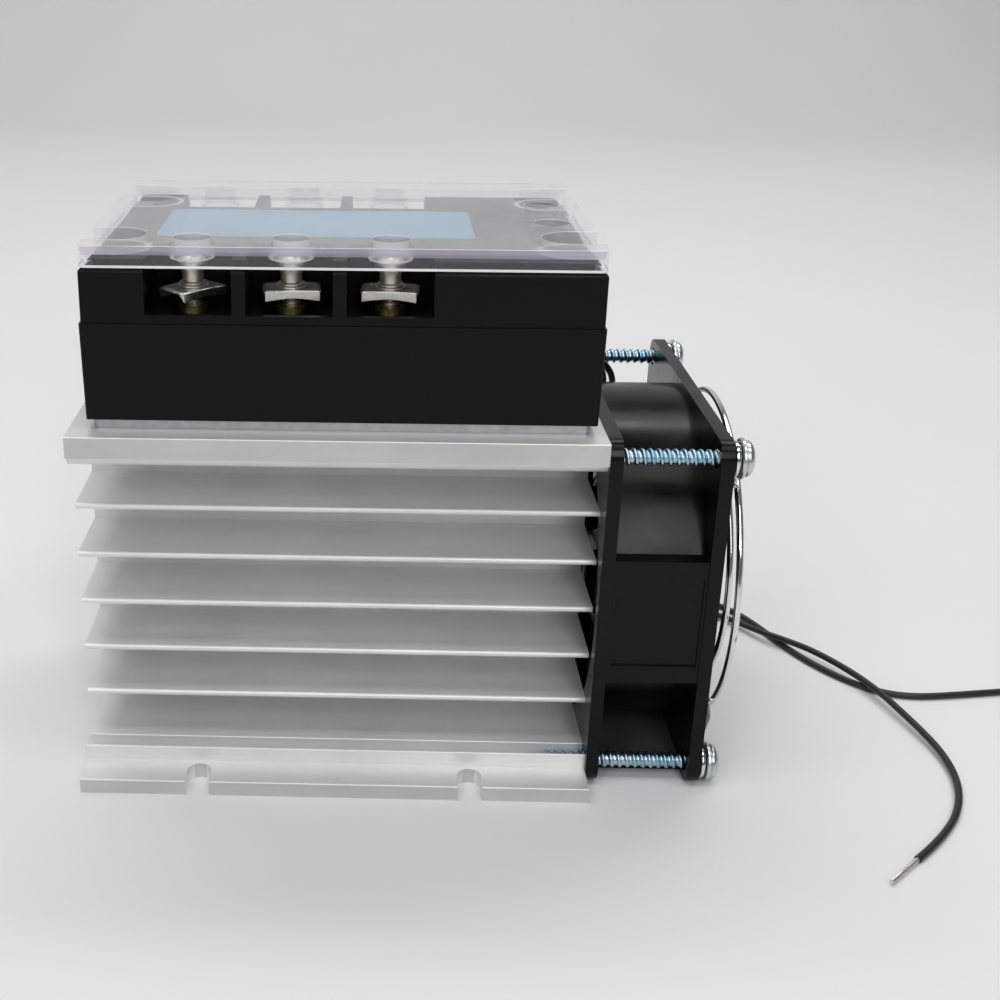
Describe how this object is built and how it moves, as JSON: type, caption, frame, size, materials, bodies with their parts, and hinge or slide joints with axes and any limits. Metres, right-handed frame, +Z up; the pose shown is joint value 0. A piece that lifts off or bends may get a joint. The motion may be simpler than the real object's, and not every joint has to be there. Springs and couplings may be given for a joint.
{
  "type": "solid state relay",
  "caption": "Three-phase solid state relay with screw terminals and clear cover, on a finned aluminium heat sink with an axial fan and wire guard.",
  "frame": {"origin": "middle of the footprint, on the surface that the feet rest on", "axes": "+X from the heat sink to the fan, +Y from the front terminals to the back ones, +Z up"},
  "size_m": [0.2521, 0.1248, 0.118],
  "materials": {
    "bare_aluminium": "satin extruded",
    "thermal_pad_grey": "soft matt",
    "base_metal": "nickel plated, satin",
    "black_housing": "moulded, fine satin",
    "clear_plastic": "clear polycarbonate, glossy",
    "label_blue": "printed film, satin",
    "lens_red": "gloss",
    "ceramic_white": "matt",
    "silicon_dark": "gloss",
    "silicone_gel": "soft gel",
    "board_green": "solder resist",
    "component_black": "moulded",
    "brass_posts": "machined",
    "nickel_screw": "nickel plated",
    "nickel_clamp": "nickel plated, pressed",
    "zinc_blue": "blue-white zinc",
    "fan_black": "moulded, glossy",
    "impeller_black": "moulded",
    "sticker_white": "satin",
    "bearing_bronze": "sintered",
    "motor_steel": "laminated",
    "copper_wire": "enamelled",
    "rotor_metal": "cast",
    "shaft_steel": "ground",
    "clip_black": "nylon",
    "chrome_wire": "bright chrome",
    "lead_pvc": "PVC insulation",
    "tinned_copper": "tinned"
  },
  "bodies": {
    "root": {"heat_sink": "bare_aluminium", "thermal_pad": "thermal_pad_grey", "base_plate": "base_metal", "lower_housing": "black_housing", "terminal_frame": "black_housing", "label_sheet": "label_blue", "indicator_lens": "lens_red", "ceramic_substrates": "ceramic_white", "thyristor_chips": "silicon_dark", "potting_block": "silicone_gel", "control_board": "board_green", "optocouplers": "component_black", "output_busbars": "brass_posts", "control_posts": "brass_posts", "relay_mounting_screws": "zinc_blue", "fan_frame": "fan_black", "motor_sticker": "sticker_white", "motor_wiring_board": "board_green", "bearing_tube": "brass_posts", "fan_bearings": "bearing_bronze", "stator_core": "motor_steel", "stator_windings": "copper_wire", "finger_guard": "chrome_wire", "fan_screws": "zinc_blue", "lead_run": "lead_pvc", "fan_lead_a": "lead_pvc", "fan_lead_b": "lead_pvc", "lead_tip_a": "tinned_copper", "lead_tip_b": "tinned_copper"},
    "cover": {"clear_cover": "clear_plastic"},
    "rotor": {"rotor_cup": "motor_steel", "rotor_ring": "rotor_metal", "fan_shaft": "shaft_steel", "shaft_clip": "clip_black", "impeller": "impeller_black"},
    "output_clamp_1": {"output_clamp_1": "nickel_clamp"},
    "output_screw_1": {"output_screw_1": "nickel_screw"},
    "output_clamp_2": {"output_clamp_2": "nickel_clamp"},
    "output_screw_2": {"output_screw_2": "nickel_screw"},
    "output_clamp_3": {"output_clamp_3": "nickel_clamp"},
    "output_screw_3": {"output_screw_3": "nickel_screw"},
    "output_clamp_4": {"output_clamp_4": "nickel_clamp"},
    "output_screw_4": {"output_screw_4": "nickel_screw"},
    "output_clamp_5": {"output_clamp_5": "nickel_clamp"},
    "output_screw_5": {"output_screw_5": "nickel_screw"},
    "output_clamp_6": {"output_clamp_6": "nickel_clamp"},
    "output_screw_6": {"output_screw_6": "nickel_screw"},
    "control_clamp_1": {"control_clamp_1": "nickel_clamp"},
    "control_screw_1": {"control_screw_1": "nickel_screw"},
    "control_clamp_2": {"control_clamp_2": "nickel_clamp"},
    "control_screw_2": {"control_screw_2": "nickel_screw"}
  },
  "joints": [
    {"name": "fan_spin", "type": "hinge", "parent": "root", "child": "rotor", "pos_m": [0.03982, 0, 0.0402], "axis": [1, 0, 0], "continuous": true},
    {"name": "cover_lift", "type": "slide", "parent": "root", "child": "cover", "axis": [0, 0, 1], "range_m": [0, 0.012]},
    {"name": "output_clamp_slide_1", "type": "slide", "parent": "root", "child": "output_clamp_1", "axis": [0, 0, 1], "range_m": [-0.0029, 0]},
    {"name": "output_screw_turn_1", "type": "hinge", "parent": "output_clamp_1", "child": "output_screw_1", "pos_m": [-0.04467, -0.02565, 0.107], "axis": [0, 0, 1], "range_deg": [-1492, 0]},
    {"name": "output_clamp_slide_2", "type": "slide", "parent": "root", "child": "output_clamp_2", "axis": [0, 0, 1], "range_m": [-0.0029, 0]},
    {"name": "output_screw_turn_2", "type": "hinge", "parent": "output_clamp_2", "child": "output_screw_2", "pos_m": [-0.02467, -0.02565, 0.107], "axis": [0, 0, 1], "range_deg": [-1492, 0]},
    {"name": "output_clamp_slide_3", "type": "slide", "parent": "root", "child": "output_clamp_3", "axis": [0, 0, 1], "range_m": [-0.0029, 0]},
    {"name": "output_screw_turn_3", "type": "hinge", "parent": "output_clamp_3", "child": "output_screw_3", "pos_m": [-0.00468, -0.02565, 0.107], "axis": [0, 0, 1], "range_deg": [-1492, 0]},
    {"name": "output_clamp_slide_4", "type": "slide", "parent": "root", "child": "output_clamp_4", "axis": [0, 0, 1], "range_m": [0, 0.0029]},
    {"name": "output_screw_turn_4", "type": "hinge", "parent": "output_clamp_4", "child": "output_screw_4", "pos_m": [-0.04467, 0.02965, 0.107], "axis": [0, 0, 1], "range_deg": [0, 1492]},
    {"name": "output_clamp_slide_5", "type": "slide", "parent": "root", "child": "output_clamp_5", "axis": [0, 0, 1], "range_m": [0, 0.0029]},
    {"name": "output_screw_turn_5", "type": "hinge", "parent": "output_clamp_5", "child": "output_screw_5", "pos_m": [-0.02467, 0.02965, 0.107], "axis": [0, 0, 1], "range_deg": [0, 1492]},
    {"name": "output_clamp_slide_6", "type": "slide", "parent": "root", "child": "output_clamp_6", "axis": [0, 0, 1], "range_m": [0, 0.0029]},
    {"name": "output_screw_turn_6", "type": "hinge", "parent": "output_clamp_6", "child": "output_screw_6", "pos_m": [-0.00468, 0.02965, 0.107], "axis": [0, 0, 1], "range_deg": [0, 1492]},
    {"name": "control_clamp_slide_1", "type": "slide", "parent": "root", "child": "control_clamp_1", "axis": [0, 0, 1], "range_m": [0, 0.002]},
    {"name": "control_screw_turn_1", "type": "hinge", "parent": "control_clamp_1", "child": "control_screw_1", "pos_m": [0.02933, -0.008, 0.107], "axis": [0, 0, 1], "range_deg": [0, 1440]},
    {"name": "control_clamp_slide_2", "type": "slide", "parent": "root", "child": "control_clamp_2", "axis": [0, 0, 1], "range_m": [0, 0.002]},
    {"name": "control_screw_turn_2", "type": "hinge", "parent": "control_clamp_2", "child": "control_screw_2", "pos_m": [0.02933, 0.012, 0.107], "axis": [0, 0, 1], "range_deg": [0, 1440]}
  ],
  "couplings": [
    {"joint": "output_screw_turn_1", "follows": "output_clamp_slide_1", "rad_per_m": 8976},
    {"joint": "output_screw_turn_2", "follows": "output_clamp_slide_2", "rad_per_m": 8976},
    {"joint": "output_screw_turn_3", "follows": "output_clamp_slide_3", "rad_per_m": 8976},
    {"joint": "output_screw_turn_4", "follows": "output_clamp_slide_4", "rad_per_m": 8976},
    {"joint": "output_screw_turn_5", "follows": "output_clamp_slide_5", "rad_per_m": 8976},
    {"joint": "output_screw_turn_6", "follows": "output_clamp_slide_6", "rad_per_m": 8976},
    {"joint": "control_screw_turn_1", "follows": "control_clamp_slide_1", "rad_per_m": 12566},
    {"joint": "control_screw_turn_2", "follows": "control_clamp_slide_2", "rad_per_m": 12566}
  ]
}
